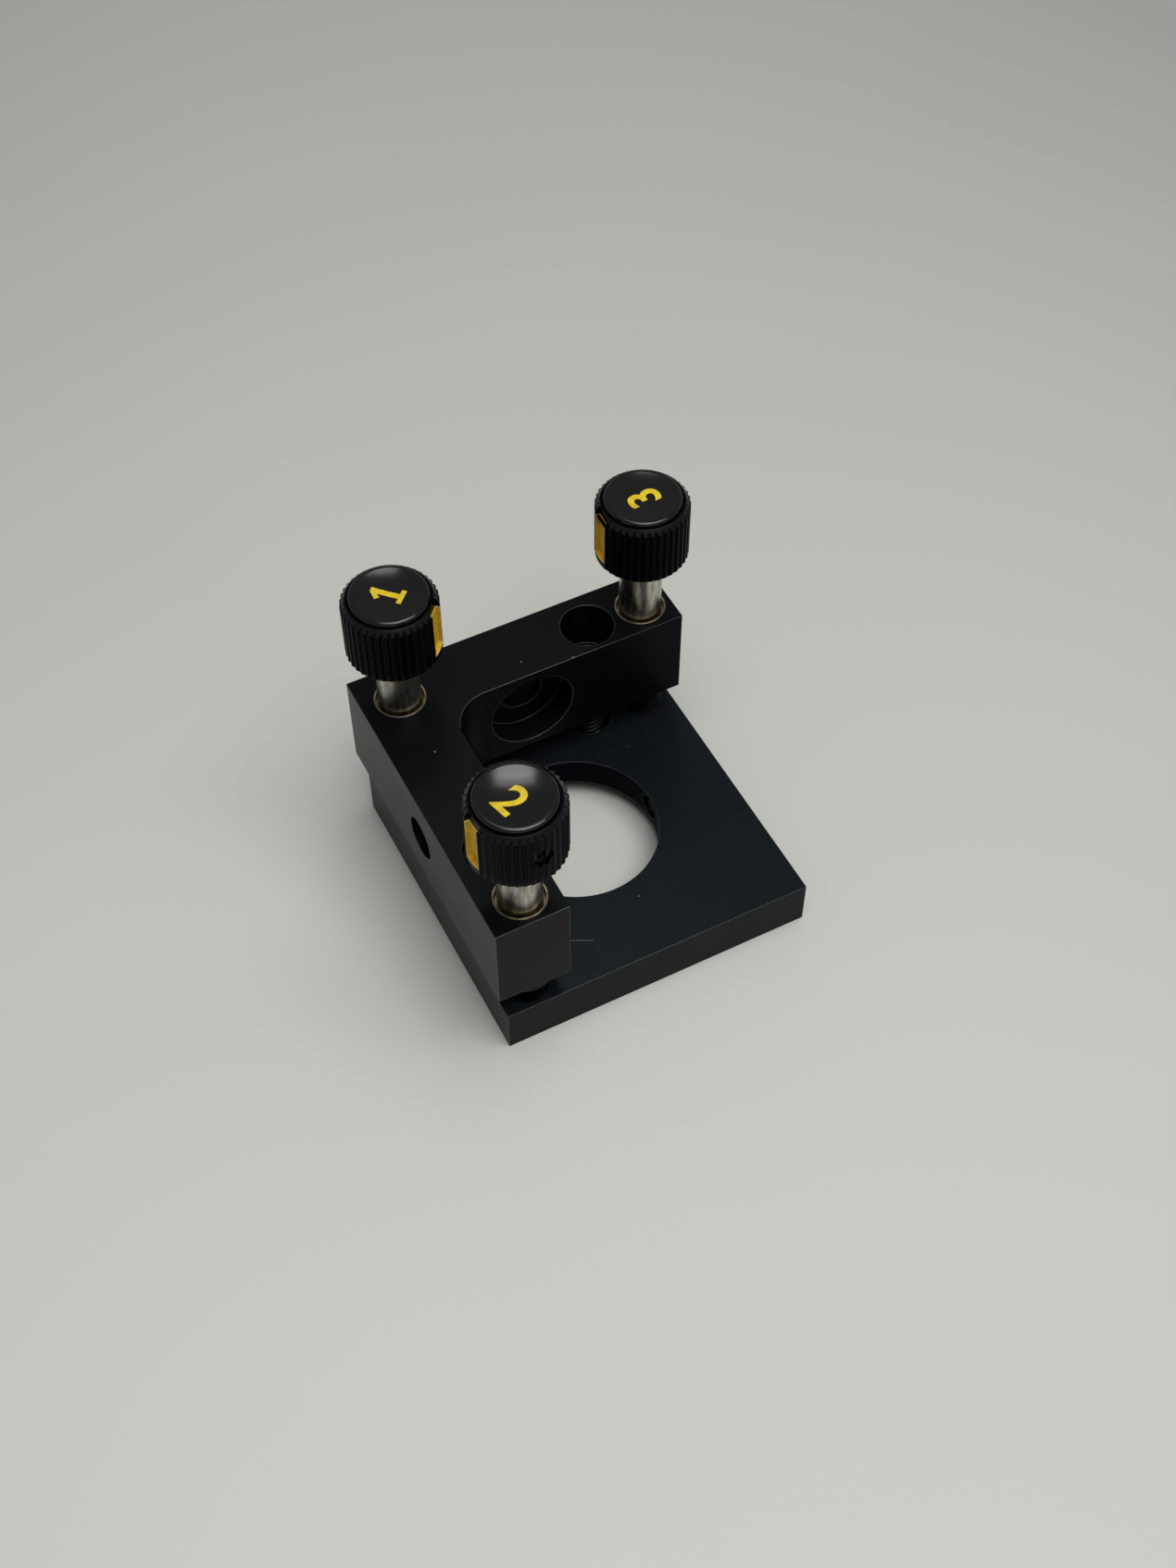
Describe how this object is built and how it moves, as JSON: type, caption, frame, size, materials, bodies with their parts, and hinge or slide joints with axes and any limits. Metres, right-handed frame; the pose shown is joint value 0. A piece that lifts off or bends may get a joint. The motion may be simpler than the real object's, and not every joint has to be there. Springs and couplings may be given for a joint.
{
  "type": "kinematic mirror mount",
  "caption": "L-framed kinematic mount for a round optic: fluted adjuster knobs push balls against a sprung square front plate with a central bore.",
  "frame": {"origin": "on the plate's front face, at the centre of the square that the three adjusters mark, which is the middle of the bounding box's base", "axes": "+Z along the adjusters towards the knobs, +Y towards the back arm's outer post face, +X along the back arm, from the corner adjuster to the right one"},
  "size_m": [0.0536, 0.0536, 0.0518],
  "materials": {
    "anodised_body": "satin black anodised, finely blasted",
    "anodised_knob": "black anodised, turned and fluted",
    "bushing_brass": "turned, dulled",
    "screw_steel": "satin, fine turning lines",
    "hard_steel": "hardened and ground",
    "spring_steel": "darkened drawn wire",
    "dark_steel": "black oxide",
    "cap_gloss": "glossy black, slightly dished",
    "index_yellow": "matt yellow inlay",
    "nylon_black": "black nylon"
  },
  "bodies": {
    "frame": {"rear_frame": "anodised_body", "corner_bushing": "bushing_brass", "front_bushing": "bushing_brass", "right_bushing": "bushing_brass", "front_spring_rear_bar": "screw_steel", "right_spring_rear_bar": "screw_steel"},
    "corner_tip": {"corner_ball": "hard_steel"},
    "front_tip": {"front_ball": "hard_steel"},
    "right_tip": {"right_ball": "hard_steel"},
    "corner_adjuster": {"corner_screw": "screw_steel", "corner_knob": "anodised_knob", "corner_cap": "cap_gloss", "corner_index_mark": "index_yellow", "corner_set_screw": "dark_steel"},
    "front_adjuster": {"front_screw": "screw_steel", "front_knob": "anodised_knob", "front_cap": "cap_gloss", "front_index_mark": "index_yellow", "front_set_screw": "dark_steel"},
    "right_adjuster": {"right_screw": "screw_steel", "right_knob": "anodised_knob", "right_cap": "cap_gloss", "right_index_mark": "index_yellow", "right_set_screw": "dark_steel"},
    "link_1": {"front_spring": "spring_steel"},
    "link_2": {"right_spring": "spring_steel"},
    "plate": {"front_plate": "anodised_body", "cone_seat": "dark_steel", "vee_seat": "dark_steel", "flat_seat": "dark_steel", "front_spring_plate_bar": "screw_steel", "right_spring_plate_bar": "screw_steel", "optic_screw": "dark_steel", "nylon_tip": "nylon_black"}
  },
  "joints": [
    {"name": "corner_travel", "type": "slide", "parent": "frame", "child": "corner_tip", "axis": [0, 0, 1], "range_m": [-0.00201, 0.00201]},
    {"name": "corner_turn", "type": "hinge", "parent": "corner_tip", "child": "corner_adjuster", "pos_m": [-0.0199, 0.0199, 0.00914], "axis": [0, 0, 1], "range_deg": [-2880, 2880]},
    {"name": "front_travel", "type": "slide", "parent": "frame", "child": "front_tip", "axis": [0, 0, 1], "range_m": [-0.00201, 0.00201]},
    {"name": "front_turn", "type": "hinge", "parent": "front_tip", "child": "front_adjuster", "pos_m": [-0.0199, -0.0199, 0.00959], "axis": [0, 0, 1], "range_deg": [-2880, 2880]},
    {"name": "right_travel", "type": "slide", "parent": "frame", "child": "right_tip", "axis": [0, 0, 1], "range_m": [-0.00201, 0.00201]},
    {"name": "right_turn", "type": "hinge", "parent": "right_tip", "child": "right_adjuster", "pos_m": [0.0199, 0.0199, 0.00999], "axis": [0, 0, 1], "range_deg": [-2880, 2880]},
    {"name": "plate_tilt_corner", "type": "hinge", "parent": "frame", "child": "link_1", "pos_m": [0, 0, 0.00979], "axis": [0.7071, 0.7071, 0], "range_deg": [-4.1, 4.1], "deforming": ["front_spring"]},
    {"name": "plate_tilt_front", "type": "hinge", "parent": "link_1", "child": "link_2", "pos_m": [-0.0199, 0.0199, 0.00914], "axis": [1, 0, 0], "range_deg": [-2.9, 2.9], "deforming": ["right_spring"]},
    {"name": "plate_tilt_right", "type": "hinge", "parent": "link_2", "child": "plate", "pos_m": [-0.0199, 0.0199, 0.00914], "axis": [0, 1, 0], "range_deg": [-2.9, 2.9]}
  ],
  "couplings": [
    {"joint": "corner_travel", "follows": "corner_turn", "m_per_rad": 0.000039789},
    {"joint": "front_travel", "follows": "front_turn", "m_per_rad": 0.000039789},
    {"joint": "right_travel", "follows": "right_turn", "m_per_rad": 0.000039789},
    {"joint": "plate_tilt_corner", "follows": "corner_turn", "ratio": 0.0014138},
    {"joint": "plate_tilt_right", "follows": "right_turn", "ratio": -0.00099972},
    {"joint": "plate_tilt_front", "follows": "front_turn", "ratio": -0.00099972}
  ]
}
